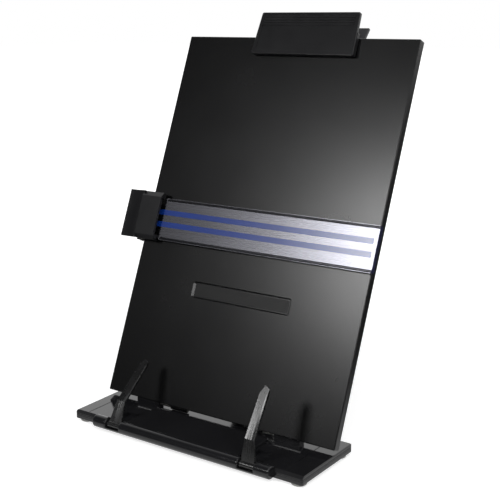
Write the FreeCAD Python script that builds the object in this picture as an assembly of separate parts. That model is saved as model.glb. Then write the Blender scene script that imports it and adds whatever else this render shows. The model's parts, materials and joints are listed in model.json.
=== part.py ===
import FreeCAD, Part
import math
import os

from FreeCAD import Vector

# Desk copy holder: a leaning sheet-steel board on a flat plastic base, with two page fingers
# at the front, a spring clip on the top edge and a line guide that slides on the left edge.
# Millimetres. X runs to the right, Y to the back and Z up, and the table is at Z = 0.
# The model is worked out from the middle of the base's front edge and moved at the end.

# Board, an A4 sheet with folded edges
board_width = 210.0
board_height = 297.0
board_low = -0.6
board_depth = 6.2
sheet = 1.0
lip_width = 9.0
lean = 22.9
board_foot_y = 39.4
board_foot_z = 13.6
label_half = 45.5
label_low = 84.3
label_high = 97.2
label_depth = 1.6

# Base, two shells with a narrow tail behind the board
base_half = 104.0
base_depth = 66.0
base_bottom = 2.0
base_top = 8.4
base_split = 5.2
wall = 2.0
tail_half = 28.0
tail_end = 195.0
tail_top = 7.4
ledge_half = 52.4
ledge_back = 36.5
ledge_top = 10.4
groove_places = (-92.5, 87.9)
front_bevel_depth = 2.7
front_bevel_fall = 1.6

# Round rail along the front edge, which carries the page fingers
rail_y = -1.6
rail_z = 6.3
rail_radius = 4.8
rail_half = 80.5
rail_end_round = 1.0
rail_lip_top = 4.4
finger_x = 61.2
finger_gap = 13.2
finger_rod_radius = 1.5
hub_radius = 2.8
hub_width = 12.6
root_length = 18.6
blade_length = 38.1
blade_bend = 25.5
left_root_lean = 25.8
right_root_lean = 7.6

# Board hinge, in the board's own frame: depth behind its face and rise above its foot
hinge_depth = 4.6
hinge_rise = -1.0
hinge_rod_radius = 1.25
lug_near = 54.0
lug_far = 76.0
lug_radius = 2.8
knuckle_near = 27.8
knuckle_far = 42.8
knuckle_radius = 2.2

# Prop leg, as long as the stretch of board below its pivot, so its foot runs level
leg_length = 72.0
leg_thickness = 2.4
leg_top_half = 25.9
leg_foot_half = 18.3
foot_radius = 1.85
foot_rod_radius = 1.2
rack_half = 15.0
rack_pitch = 4.0
rack_tooth = 0.9

# Clips, in the board's own frame
pivot_depth = 3.1
pin_radius = 1.25
running_gap = 0.05
pad_gap = 0.3
top_clip_x = 9.4
top_clip_half = 46.0
top_clip_low = 281.5
top_clip_high = 316.0
top_clip_front = 5.5
top_pivot_z = 302.0
guide_z = 142.7
guide_half = 19.8
guide_left = -124.0
guide_step = -108.0
guide_right = -88.5
guide_front = 10.5
guide_pivot_x = -109.0

# Ruler of the line guide
ruler_low = 124.3
ruler_high = 158.5
ruler_left = -104.0
ruler_right = 106.9
ruler_front = 4.6
ruler_thickness = 1.6
bead_radius = 1.3
stripe_bands = ((144.8, 149.0), (135.0, 139.3))
stripe_left = -94.2
stripe_right = 103.9
stripe_film = 0.12
ruler_shoulder = -88.2
ruler_end_depth = 4.2
tongue_low = 129.5
tongue_high = 153.3

# Springs
wire_radius = 0.45
coil_radius = 2.3
coil_pitch = 1.5

# Worked out from the above
lean_rad = math.radians(lean)
hinge_y = board_foot_y + hinge_rise * math.sin(lean_rad) + hinge_depth * math.cos(lean_rad)
hinge_z = board_foot_z + hinge_rise * math.cos(lean_rad) - hinge_depth * math.sin(lean_rad)
leg_pivot_rise = hinge_rise + leg_length
rack_top = hinge_z - foot_radius - 0.3
model_centre_x = (guide_left + ruler_right) / 2
model_centre_y = (rail_y - rail_radius + tail_end) / 2


def box(x0, x1, y0, y1, z0, z1):
    return Part.makeBox(x1 - x0, y1 - y0, z1 - z0, Vector(x0, y0, z0))


def rod_x(x0, x1, y, z, radius):
    return Part.makeCylinder(radius, x1 - x0, Vector(x0, y, z), Vector(1, 0, 0))


def rod_y(x, y0, y1, z, radius):
    return Part.makeCylinder(radius, y1 - y0, Vector(x, y0, z), Vector(0, 1, 0))


def rod_z(x, y, z0, z1, radius):
    return Part.makeCylinder(radius, z1 - z0, Vector(x, y, z0), Vector(0, 0, 1))


def fuse(shapes):
    whole = shapes[0].fuse(list(shapes[1:]))
    return whole.removeSplitter()


def cut(shape, tools):
    return shape.cut(list(tools))


def prism(points, direction):
    corners = [Vector(*point) for point in points]
    return Part.Face(Part.makePolygon(corners + corners[:1])).extrude(Vector(*direction))


def prism_x(points, x0, x1):
    # The points are Y and Z pairs
    return prism([(x0, y, z) for y, z in points], (x1 - x0, 0, 0))


def prism_z(points, z0, z1):
    # The points are X and Y pairs
    return prism([(x, y, z0) for x, y in points], (0, 0, z1 - z0))


def round_outline(corners):
    # Straight sides with an arc at each corner that has a radius; corners are X, Y, radius
    edges = []
    starts = []
    ends = []
    count = len(corners)
    for i, (x, y, radius) in enumerate(corners):
        here = Vector(x, y, 0)
        before = Vector(corners[i - 1][0], corners[i - 1][1], 0)
        after = Vector(corners[(i + 1) % count][0], corners[(i + 1) % count][1], 0)
        to_before = (before - here).normalize()
        to_after = (after - here).normalize()
        half = to_before.getAngle(to_after) / 2
        reach = radius / math.tan(half)
        start = here + to_before * reach
        end = here + to_after * reach
        middle = (to_before + to_after).normalize()
        centre = here + middle * (radius / math.sin(half))
        edges.append(Part.Arc(start, centre - middle * radius, end).toShape())
        starts.append(start)
        ends.append(end)
    for i in range(count):
        edges.append(Part.LineSegment(ends[i], starts[(i + 1) % count]).toShape())
    return Part.Wire(Part.__sortEdges__(edges))


def plate(corners, z0, z1):
    slab = Part.Face(round_outline(corners)).extrude(Vector(0, 0, z1 - z0))
    slab.translate(Vector(0, 0, z0))
    return slab


def upright_plate(corners, depth0, depth1):
    # The same in the board's frame: corners are X, Z, radius and the depth runs along Y
    slab = Part.Face(round_outline(corners)).extrude(Vector(0, 0, depth0 - depth1))
    slab.rotate(Vector(0, 0, 0), Vector(1, 0, 0), 90)
    slab.translate(Vector(0, depth0, 0))
    return slab


def rectangle(x0, x1, y0, y1, radius):
    return [(x0, y0, radius), (x1, y0, radius), (x1, y1, radius), (x0, y1, radius)]


def upright_rect_wire(x0, x1, z0, z1, radius, depth):
    wire = round_outline(rectangle(x0, x1, z0, z1, radius))
    wire.rotate(Vector(0, 0, 0), Vector(1, 0, 0), 90)
    wire.translate(Vector(0, depth, 0))
    return wire


def ridge_x(x0, x1, y, z, outward):
    # Low rounded grip ridge along X that stands out of a face at depth y; outward is -1 or 1
    half, tall = 0.42, 0.42
    profile = [(y, z - half), (y + outward * tall * 0.75, z - half * 0.55),
               (y + outward * tall, z), (y + outward * tall * 0.75, z + half * 0.55),
               (y, z + half)]
    return prism_x(profile, x0, x1)


def soften(shape, radius, chosen):
    # Rounds the edges whose middle point passes the test
    edges = [edge for edge in shape.Edges if chosen(edge.CenterOfMass)]
    return shape.makeFillet(radius, edges)


def bent_strip(points, thickness):
    # Closed outline of a strip of even thickness that follows a few points in a plane
    near = []
    far = []
    for i, (a, b) in enumerate(points):
        into = points[max(i - 1, 0)]
        out = points[min(i + 1, len(points) - 1)]
        if i == 0:
            into = (a, b)
        along = math.atan2(out[1] - into[1], out[0] - into[0])
        first = math.atan2(b - into[1], a - into[0]) if i > 0 else along
        bend = math.cos(along - first) if 0 < i < len(points) - 1 else 1
        reach = thickness / 2 / bend
        near.append((a - math.sin(along) * reach, b + math.cos(along) * reach))
        far.append((a + math.sin(along) * reach, b - math.cos(along) * reach))
    return near + far[::-1]


def arc_leaving(start, tangent, end):
    # The arc from start to end that leaves along the tangent
    chord = end - start
    along = Vector(chord).normalize()
    aside = tangent - along * tangent.dot(along)
    if aside.Length < 1e-7:
        return Part.LineSegment(start, end)
    angle = tangent.getAngle(along)
    middle = (start + end) * 0.5 + aside.normalize() * (chord.Length / 2 * math.tan(angle / 2))
    return Part.Arc(start, middle, end)


def biarc(start, start_tangent, end, end_tangent):
    # Two arcs that meet smoothly between two points with given directions
    gap = end - start
    turn = 2 * (1 - start_tangent.dot(end_tangent))
    lean_in = gap.dot(start_tangent + end_tangent)
    reach = (math.sqrt(lean_in ** 2 + turn * gap.dot(gap)) - lean_in) / turn
    first = start + start_tangent * reach
    second = end - end_tangent * reach
    joint = (first + second) * 0.5
    into_joint = Vector(second - first).normalize()
    return [arc_leaving(start, start_tangent, joint), arc_leaving(joint, into_joint, end)]


def torsion_spring(start_angle, end_angle, first_leg, last_leg, name):
    # A coil about the X axis with its middle at the origin and a straight leg at each end.
    # Angles are in degrees from +Y towards +Z, and grow along the wire.
    def point(angle):
        turn = math.radians(angle)
        x = coil_pitch * (angle - (start_angle + end_angle) / 2) / 360
        return Vector(x, coil_radius * math.cos(turn), coil_radius * math.sin(turn))

    def direction(angle):
        turn = math.radians(angle)
        rise = coil_pitch / (2 * math.pi)
        return Vector(rise, -coil_radius * math.sin(turn), coil_radius * math.cos(turn)).normalize()

    steps = math.ceil((end_angle - start_angle) / 90)
    angles = [start_angle + (end_angle - start_angle) * i / steps for i in range(steps + 1)]
    curves = []
    for a, b in zip(angles, angles[1:]):
        curves += biarc(point(a), direction(a), point(b), direction(b))
    begin = point(start_angle) - direction(start_angle) * first_leg
    finish = point(end_angle) + direction(end_angle) * last_leg
    edges = [Part.LineSegment(begin, point(start_angle)).toShape()]
    edges += [curve.toShape() for curve in curves]
    edges.append(Part.LineSegment(point(end_angle), finish).toShape())
    path = Part.Wire(edges)

    samples = [point(start_angle + 5 * i) for i in range(int((end_angle - start_angle) / 5) + 1)]
    least = min((p - q).Length for i, p in enumerate(samples) for q in samples[i + 30:])
    print(name, "turns", round((end_angle - start_angle) / 360, 2),
          "least gap to itself", round(least - 2 * wire_radius, 2))

    sweep = Part.BRepOffsetAPI.MakePipeShell(path)
    ring = Part.makeCircle(wire_radius, begin, direction(start_angle))
    sweep.add(Part.Wire([ring]))
    sweep.build()
    sweep.makeSolid()
    return sweep.shape()


def on_board(shape):
    # Leans a shape from the board's frame back into its place above the base
    shape.rotate(Vector(0, 0, 0), Vector(1, 0, 0), -lean)
    shape.translate(Vector(0, board_foot_y, board_foot_z))
    return shape


def both_sides(make):
    return [make(-1), make(1)]


# Base

def base_corners(inset):
    half = base_half - inset
    back = base_depth - inset
    tail = tail_half - inset
    end = tail_end - inset
    front = inset
    return [(-half, front, 1.5), (half, front, 1.5), (half, back, 2), (tail, back, 8),
            (tail, end, 5), (-tail, end, 5), (-tail, back, 8), (-half, back, 2)]


def wide_corners(inset):
    half = base_half - inset
    return [(-half, inset, 1.5), (half, inset, 1.5), (half, base_depth - inset, 2),
            (-half, base_depth - inset, 2)]


screw_places = [(side * x, y) for side in (-1, 1) for x, y in ((97, 33), (30, 20), (21, 88), (21, 168))]
foot_places = [(side * x, y) for side in (-1, 1) for x, y in ((97.3, 6.5), (97.3, 58), (18, 186))]


def finger_slots(radius):
    # Room for the finger hubs, through whatever lies round the rail
    gap = finger_gap / 2
    return [rod_x(side * finger_x - gap, side * finger_x + gap, rail_y, rail_z, radius)
            for side in (-1, 1)]


def rail():
    # Three rounded lengths with room for a finger between them, joined by a lip underneath
    gap = finger_gap / 2
    inner, outer = finger_x - gap, finger_x + gap
    lengths = [rod_x(x0, x1, rail_y, rail_z, rail_radius)
               for x0, x1 in ((-rail_half, -outer), (-inner, inner), (outer, rail_half))]
    rounded = [soften(length, rail_end_round, lambda p, half=length.BoundBox: p.x < half.XMin + 0.05
                      or p.x > half.XMax - 0.05) for length in lengths]
    lip = rod_x(-outer - 2, outer + 2, rail_y, rail_z, rail_radius)
    lip = lip.common(box(-100, 100, -10, 10, 0, rail_lip_top))
    return fuse(rounded + [lip])


def board_lug(side):
    # One of the two blocks that carry the board's hinge rods
    x0, x1 = sorted((side * lug_near, side * lug_far))
    round_part = rod_x(x0, x1, hinge_y, hinge_z, lug_radius)
    foot = box(x0, x1, hinge_y - lug_radius, hinge_y + lug_radius, base_top - 1, hinge_z)
    return fuse([round_part, foot])


def base_upper_shell():
    slab = soften(plate(wide_corners(0), base_split, base_top), 0.8,
                  lambda p: p.z > base_top - 0.01)
    tail = plate(base_corners(0), base_split, tail_top)
    shell = fuse([slab, tail, rail()] + both_sides(board_lug))

    groove_low = 5.95
    ring_cut = plate(wide_corners(-1), groove_low, groove_low + 0.45)
    ring_cut = cut(ring_cut, [plate(wide_corners(0.4), groove_low - 1, groove_low + 1),
                              box(-rail_half - 1, rail_half + 1, -3, 3, 0, 12),
                              box(-tail_half - 2, tail_half + 2, base_depth - 3, base_depth + 3, 0, 12)])
    cavity = fuse([plate(wide_corners(wall), base_split - 1, base_top - wall),
                   plate(base_corners(wall), base_split - 1, tail_top - 1.4)])
    pocket_room = [box(side * finger_x - 8.2, side * finger_x + 8.2, 0, 22.5, 0, 12)
                   for side in (-1, 1)]
    bosses = [rod_z(x, y, 0, 12, 3.5) for x, y in screw_places]
    cavity = cut(cavity, pocket_room + bosses)

    gap = finger_gap / 2
    pockets = [box(side * finger_x - gap, side * finger_x + gap, 0, 20.5, 5.9, 12)
               for side in (-1, 1)]
    slots = [box(side * finger_x - gap, side * finger_x + gap, rail_y - 6, 0.5, rail_lip_top, 12)
             for side in (-1, 1)]
    lines = [box(x - 0.35, x + 0.35, 3.2, base_depth - 1.5, base_top - 0.45, base_top + 1)
             for x in groove_places]
    slope = front_bevel_fall / front_bevel_depth
    bevel = [(-1, base_top - front_bevel_fall - slope), (front_bevel_depth + 1, base_top + slope),
             (-1, base_top + 1)]
    bevels = [prism_x(bevel, *sorted((side * rail_half, side * (base_half + 1)))) for side in (-1, 1)]
    pilots = [rod_z(x, y, base_split - 1, base_split + 1.6, 1.1) for x, y in screw_places]
    rod_hole = rod_x(-rail_half + 1.5, rail_half - 1.5, rail_y, rail_z, finger_rod_radius)
    hinge_holes = [rod_x(min(side * lug_near, side * (lug_far - 1.2)),
                         max(side * lug_near, side * (lug_far - 1.2)),
                         hinge_y, hinge_z, hinge_rod_radius) for side in (-1, 1)]
    pegs = [rod_z(x, y, base_top - 1.3, base_top + 1, 1.6) for x, y in peg_places]
    return cut(shell, [ring_cut, cavity] + pockets + slots + finger_slots(hub_radius + 0.4)
               + lines + bevels + pilots + [rod_hole] + hinge_holes + pegs)


def base_lower_shell():
    shell = soften(plate(base_corners(0), base_bottom, base_split), 0.8,
                   lambda p: p.z < base_bottom + 0.01)
    parting = cut(plate(base_corners(-1), base_split - 0.35, base_split + 1),
                  [plate(base_corners(0.4), base_split - 2, base_split + 2)])
    cavity = plate(base_corners(wall), base_bottom + 1.6, base_split + 1)
    cavity = cut(cavity, [rod_z(x, y, 0, 12, 4.6) for x, y in screw_places])
    heads = [rod_z(x, y, 0, base_bottom + 1.5, 3.0) for x, y in screw_places]
    shanks = [rod_z(x, y, 0, 12, 1.5) for x, y in screw_places]
    seats = [rod_z(x, y, 0, base_bottom + 0.6, 5.6) for x, y in foot_places]
    rail_room = rod_x(-rail_half, rail_half, rail_y, rail_z, rail_radius)
    return cut(shell, [parting, cavity, rail_room] + heads + shanks + seats
               + finger_slots(hub_radius + 0.4))


peg_places = [(-40, 12), (40, 12), (-40, 30), (40, 30)]


def page_ledge():
    # Raised strip that the pages stand on, between the fingers and in front of the board
    slab = plate(rectangle(-ledge_half, ledge_half, rail_y, ledge_back, 1.5), base_top, ledge_top)
    slab = soften(slab, 0.6, lambda p: p.z > ledge_top - 0.01)
    pegs = [rod_z(x, y, base_top - 1.2, base_top + 0.5, 1.5) for x, y in peg_places]
    rail_room = rod_x(-rail_half, rail_half, rail_y, rail_z, rail_radius)
    return cut(fuse([slab] + pegs), [rail_room, box(-60, 60, -9, rail_y + 0.5, 0, 20)])


def base_feet():
    feet = []
    for x, y in foot_places:
        foot = rod_z(x, y, 0, base_bottom + 0.6, 5.5)
        feet.append(soften(foot, 0.6, lambda p: p.z < 0.01))
    return Part.makeCompound(feet)


def base_screws():
    screws = []
    for x, y in screw_places:
        head = soften(rod_z(x, y, base_bottom + 0.2, base_bottom + 1.5, 2.6), 0.4,
                      lambda p: p.z < base_bottom + 0.21)
        shank = rod_z(x, y, base_bottom + 1.0, base_split + 1.5, 1.1)
        slot = [box(x - 1.6, x + 1.6, y - 0.3, y + 0.3, 0, base_bottom + 0.8),
                box(x - 0.3, x + 0.3, y - 1.6, y + 1.6, 0, base_bottom + 0.8)]
        screws.append(cut(fuse([head, shank]), slot))
    return Part.makeCompound(screws)


def finger_rod():
    return rod_x(-rail_half + 1.5, rail_half - 1.5, rail_y, rail_z, finger_rod_radius)


def hinge_rod(side):
    x0, x1 = sorted((side * (knuckle_near - 0.8), side * (lug_far - 1.2)))
    return rod_x(x0, x1, hinge_y, hinge_z, hinge_rod_radius)


rack_front = hinge_y + 2 * leg_length * math.sin(lean_rad) - 5.5
rack_back = hinge_y + 2 * leg_length + 2.5
rack_screw_places = [(0, rack_front - 3.5), (0, rack_back + 2.0)]


def prop_rack():
    # Toothed strip on the tail that the prop leg's foot grips
    profile = [(rack_front - 7, tail_top), (rack_front - 7, tail_top + 0.7),
               (rack_front, tail_top + 0.7)]
    count = int((rack_back - rack_front) / rack_pitch)
    for i in range(count):
        start = rack_front + i * rack_pitch
        profile += [(start, rack_top - rack_tooth), (start + 2.6, rack_top), (start + 3.2, rack_top)]
    last = rack_front + count * rack_pitch
    profile += [(last, rack_top - rack_tooth), (last, tail_top + 0.7),
                (rack_back + 4.0, tail_top + 0.7), (rack_back + 4.0, tail_top)]
    strip = prism_x(profile, -rack_half, rack_half)
    holes = [rod_z(x, y, 0, 20, 1.5) for x, y in rack_screw_places]
    return cut(strip, holes)


def rack_screws():
    screws = []
    for x, y in rack_screw_places:
        head = soften(rod_z(x, y, tail_top + 0.7, tail_top + 1.4, 1.9), 0.3,
                      lambda p: p.z > tail_top + 1.39)
        slot = box(x - 1.4, x + 1.4, y - 0.25, y + 0.25, tail_top + 1.0, tail_top + 2)
        screws.append(cut(fuse([head, rod_z(x, y, tail_top, tail_top + 1, 1.45)]), [slot]))
    return Part.makeCompound(screws)


# Board

def board_panel():
    half = board_width / 2
    low = board_low
    outer = upright_plate(rectangle(-half, half, low, board_height, 0.8), 0, board_depth)
    outer = soften(outer, 0.7, lambda p: p.y < 0.01)
    inside = upright_plate(rectangle(sheet - half, half - sheet, low + sheet, board_height - sheet, 0.6),
                           sheet, board_depth - sheet)
    opening = upright_plate(rectangle(lip_width - half, half - lip_width, low + sheet,
                                      board_height - lip_width, 3), board_depth - 2, board_depth + 1)
    pan = cut(outer, [inside, opening])

    def slope(grow, depth0, depth1):
        top = upright_rect_wire(-label_half - grow, label_half + grow, label_low - grow,
                                label_high + grow, 1.6 + grow, depth0)
        floor = upright_rect_wire(-label_half - grow + 1.5, label_half + grow - 1.5,
                                  label_low - grow + 0.9, label_high + grow - 0.9,
                                  0.9 + grow, depth1)
        return Part.makeLoft([top, floor], True, True)

    pan = fuse([pan, slope(1.0, 0.6, label_depth + sheet)])
    pan = cut(pan, [slope(0, 0, label_depth)])
    notches = []
    for side in (-1, 1):
        x0, x1 = sorted((side * (knuckle_near - 1.2), side * (lug_far + 0.6)))
        notches.append(box(x0, x1, sheet, board_depth + 1, low - 1, sheet + 0.5))
    dimples = [rod_y(66.5 + 4.0 * i, -1, 0.25, 278.4 + 3.6 * j, 0.65)
               for i in range(2) for j in range(4)]
    return on_board(cut(pan, notches + dimples))


def hinge_bracket(side):
    # Leaf spot-welded to the board's back, with the knuckle that turns on the hinge rod
    x0, x1 = sorted((side * knuckle_near, side * knuckle_far))
    leaf = upright_plate(rectangle(x0 - 0.5, x1 + 0.5, hinge_rise, 24, 0.4), sheet, sheet + 1.2)
    web = box(x0, x1, sheet + 0.9, hinge_depth, hinge_rise, 1.0)
    knuckle = rod_x(x0, x1, hinge_depth, hinge_rise, knuckle_radius)
    hole = rod_x(x0 - 1, x1 + 1, hinge_depth, hinge_rise, hinge_rod_radius + running_gap)
    return on_board(cut(fuse([leaf, web, knuckle]), [hole]))


ear_inner = 26.2
ear_outer = 29.2


def prop_bracket():
    leaf = upright_plate(rectangle(-ear_outer - 2, ear_outer + 2, leg_pivot_rise - 12,
                                   leg_pivot_rise + 9, 2), sheet, sheet + 1.2)
    parts = [leaf]
    for side in (-1, 1):
        x0, x1 = sorted((side * ear_inner, side * ear_outer))
        parts.append(rod_x(x0, x1, hinge_depth, leg_pivot_rise, 2.6))
        parts.append(box(x0, x1, sheet + 1, hinge_depth, leg_pivot_rise - 2.6, leg_pivot_rise + 2.6))
    hole = rod_x(-40, 40, hinge_depth, leg_pivot_rise, pin_radius)
    return on_board(cut(fuse(parts), [hole]))


def headed_pin_x(x0, x1, y, z, radius):
    # Plain pin whose ends are riveted over just outside x0 and x1
    parts = [rod_x(x0 - 0.8, x1 + 0.8, y, z, radius)]
    for a, b, outside in ((x0 - 0.8, x0, x0 - 0.79), (x1, x1 + 0.8, x1 + 0.79)):
        head = rod_x(a, b, y, z, radius + 0.9)
        outer = (lambda p, edge=outside: p.x < edge) if a < x0 else (lambda p, edge=outside: p.x > edge)
        parts.append(soften(head, 0.35, outer))
    return fuse(parts)


def prop_leg_pin():
    return on_board(headed_pin_x(-ear_outer, ear_outer, hinge_depth, leg_pivot_rise, pin_radius))


# Prop leg, modelled hanging from its pivot and then swung back to the rack

def hang_leg(shape):
    shape.rotate(Vector(0, 0, 0), Vector(1, 0, 0), lean)
    y = hinge_y + leg_length * math.sin(lean_rad)
    z = hinge_z + leg_length * math.cos(lean_rad)
    shape.translate(Vector(0, y, z))
    return shape


def prop_leg():
    half = leg_thickness / 2
    top, foot = leg_top_half, leg_foot_half
    outline = [(-foot, -leg_length, 1.2), (foot, -leg_length, 1.2), (foot, -58, 20), (top, -24, 20),
               (top, 0, 0.5), (-top, 0, 0.5), (-top, -24, 20), (-foot, -58, 20)]
    body = upright_plate(outline, -half, half)
    knuckles = [rod_x(*sorted((side * 17.0, side * top)), 0, 0, 2.1) for side in (-1, 1)]
    toes = [rod_x(*sorted((side * (rack_half + 0.3), side * foot)), 0, -leg_length, foot_radius)
            for side in (-1, 1)]
    panel = upright_plate(rectangle(-12, 12, -56, -12, 3), half - 0.7, half + 1)
    cuts = [box(-17, 17, -3, 3, -5, 3),
            box(-rack_half - 0.3, rack_half + 0.3, -3, 3, -leg_length - 3, 3 - leg_length),
            rod_x(-40, 40, 0, 0, pin_radius + running_gap),
            rod_x(-40, 40, 0, -leg_length, foot_rod_radius), panel]
    return hang_leg(cut(fuse([body] + knuckles + toes), cuts))


def prop_foot_rod():
    return hang_leg(rod_x(-leg_foot_half, leg_foot_half, 0, -leg_length, foot_rod_radius))


def prop_foot_sleeve():
    sleeve = rod_x(-rack_half, rack_half, 0, -leg_length, foot_radius)
    return hang_leg(cut(sleeve, [rod_x(-40, 40, 0, -leg_length, foot_rod_radius)]))


# Page fingers, modelled standing on the rail's axis and then leaned back

def page_finger(side, root_lean):
    root_width0, root_width1 = 12.0, 7.4
    tip_width = 6.4
    thickness = 2.0
    half = thickness / 2
    hub = rod_x(-hub_width / 2, hub_width / 2, 0, 0, hub_radius)
    root = upright_plate([(-root_width0 / 2, 0, 0.3), (root_width0 / 2, 0, 0.3),
                          (root_width1 / 2, root_length, 0.3), (-root_width1 / 2, root_length, 0.3)],
                         -half, half)
    knee = rod_x(-root_width1 / 2, root_width1 / 2, 0, root_length, half)
    blade = upright_plate([(-root_width1 / 2, 0, 0.3), (root_width1 / 2, 0, 0.3),
                           (tip_width / 2, blade_length - 2.6, 1.5), (1.0, blade_length, 0.8),
                           (-tip_width / 2, blade_length - 1.2, 2.4)], -half, half)
    ribs = [upright_plate(rectangle(x - 0.3, x + 0.3, 1.5, blade_length - 6, 0.25),
                          -half - 0.3, -half + 0.2) for x in (-1.8, -0.6, 0.6, 1.8)]
    blade = fuse([blade] + ribs)
    blade.rotate(Vector(0, 0, 0), Vector(1, 0, 0), -blade_bend)
    blade.translate(Vector(0, 0, root_length))
    root_ribs = [upright_plate(rectangle(x - 0.3, x + 0.3, hub_radius - 0.5, root_length - 1, 0.25),
                               -half - 0.3, -half + 0.2) for x in (-1.8, -0.6, 0.6, 1.8)]
    finger = fuse([hub, root, knee, blade] + root_ribs)
    finger = cut(finger, [rod_x(-20, 20, 0, 0, finger_rod_radius + running_gap)])
    finger.rotate(Vector(0, 0, 0), Vector(1, 0, 0), -root_lean)
    finger.translate(Vector(side * finger_x, rail_y, rail_z))
    return finger


# Top clip, in the board's frame

def lean_clip(shape):
    # The front plate leans back a little more than the board
    shape.rotate(Vector(0, -top_clip_front, top_clip_low), Vector(1, 0, 0), -2.0)
    return shape


def top_clip_body():
    x0, x1 = top_clip_x - top_clip_half, top_clip_x + top_clip_half
    front, back = -top_clip_front, -top_clip_front + 2.4
    low, high = top_clip_low, top_clip_high
    face = upright_plate([(x0, low, 1.5), (x1, low, 1.5), (x1 - 1.8, high, 1.5),
                          (x0 + 1.8, high, 1.5)], front, back)
    face = soften(face, 0.5, lambda p: p.y < front + 0.01)
    step = high - 10.0
    recess = upright_plate([(x0 + 3.2, low + 3.4, 1), (x1 - 3.2, low + 3.4, 1),
                            (x1 - 4.3, step - 0.6, 1), (x0 + 4.3, step - 0.6, 1)],
                           front - 1, front + 0.5)
    grip = upright_plate(rectangle(x0 + 4.6, x1 - 4.6, step + 1.0, high - 1.6, 0.8),
                         front - 1, front + 0.4)
    ridges = [ridge_x(x0 + 5.2, x1 - 5.2, front + 0.41, step + 2.1 + 1.3 * i, -1) for i in range(5)]
    face = fuse([cut(face, [recess, grip])] + ridges)
    walls = [upright_plate(rectangle(a, b, low + 0.3, 300, 0.6), front + 1, -1.3)
             for a, b in ((x0 + 0.4, x0 + 2.2), (x1 - 2.2, x1 - 0.4))]
    lip = upright_plate(rectangle(x0 + 0.4, x1 - 0.4, low + 0.3, low + 2.1, 0.6), front + 1, -1.3)
    shell = lean_clip(fuse([face] + walls + [lip]))
    lugs = []
    for side in (-1, 1):
        a, b = sorted((top_clip_x + side * 30.0, top_clip_x + side * 33.5))
        lugs.append(rod_x(a, b, pivot_depth, top_pivot_z, 3.2))
        lugs.append(prism_x([(back - 0.6, 309), (back - 0.6, 299), (pivot_depth, top_pivot_z - 3.2),
                             (pivot_depth, top_pivot_z + 3.2)], a, b))
    hole = rod_x(x0, x1, pivot_depth, top_pivot_z, pin_radius)
    return on_board(cut(fuse([shell] + lugs), [hole]))


def top_clip_front_pad():
    half = top_clip_half - 5
    pad = upright_plate(rectangle(top_clip_x - half, top_clip_x + half, 284.3, 289.3, 0.8),
                        -top_clip_front + 1, -pad_gap)
    face = upright_plate(rectangle(top_clip_x - 60, top_clip_x + 60, 270, 330, 1),
                         -top_clip_front - 3, -top_clip_front + 2.4)
    return on_board(cut(pad, [lean_clip(face)]))


top_lever_line = [(7.9, 282.8), (9.2, 299.0), (13.0, 309.3)]


def lever_profile():
    return bent_strip(top_lever_line, 2.0)


def top_clip_lever():
    half = top_clip_half - 1.4
    blade = prism_x(lever_profile(), top_clip_x - half, top_clip_x + half)
    lugs = []
    for side in (-1, 1):
        a, b = sorted((top_clip_x + side * 26.0, top_clip_x + side * 29.5))
        lugs.append(rod_x(a, b, pivot_depth, top_pivot_z, 3.0))
        lugs.append(prism_x([(pivot_depth, 299.0), (9.2, 299.4), (10.6, 303.4),
                             (pivot_depth, 305.0)], a, b))
    ridges = [ridge_x(top_clip_x - half + 4, top_clip_x + half - 4, 11.6 + 0.48 * i,
                      302.9 + 1.3 * i, 1) for i in range(5)]
    hole = rod_x(top_clip_x - 50, top_clip_x + 50, pivot_depth, top_pivot_z, pin_radius + running_gap)
    return on_board(cut(fuse([blade] + lugs + ridges), [hole]))


def top_clip_rear_pad():
    half = top_clip_half - 5
    pad = upright_plate(rectangle(top_clip_x - half, top_clip_x + half, 284.6, 290.0, 0.8),
                        board_depth + pad_gap, 8.6)
    blade = prism_x(lever_profile(), top_clip_x - 60, top_clip_x + 60)
    behind = box(-100, 100, 8.2, 30, 270, 320)
    return on_board(cut(pad, [blade, behind]))


def top_clip_pin():
    return on_board(headed_pin_x(top_clip_x - 33.5, top_clip_x + 33.5, pivot_depth, top_pivot_z,
                                 pin_radius))


def top_clip_spring():
    coil = torsion_spring(210, 310 + 360 * 5, 5.5, 6.5, "top_clip_spring")
    coil.translate(Vector(top_clip_x, pivot_depth, top_pivot_z))
    return on_board(coil)


# Line guide: a spring clip on the board's left edge and the ruler that it carries

def hollow_grip(low, high):
    # Finger grip left of the block, dished a little so that a fingertip sits in it
    left, right = guide_left, guide_step + 1.0
    dish = Part.Arc(Vector(right, -9.8, low), Vector((left + right) / 2, -7.9, low),
                    Vector(left, -7.4, low)).toShape()
    back = [Vector(left, -7.4, low), Vector(left, -5.2, low), Vector(right, -7.2, low),
            Vector(right, -9.8, low)]
    sides = [Part.LineSegment(a, b).toShape() for a, b in zip(back, back[1:])]
    return Part.Face(Part.Wire([dish] + sides)).extrude(Vector(0, 0, high - low))


ruler_screw_x = ruler_left + 6.5


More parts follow.
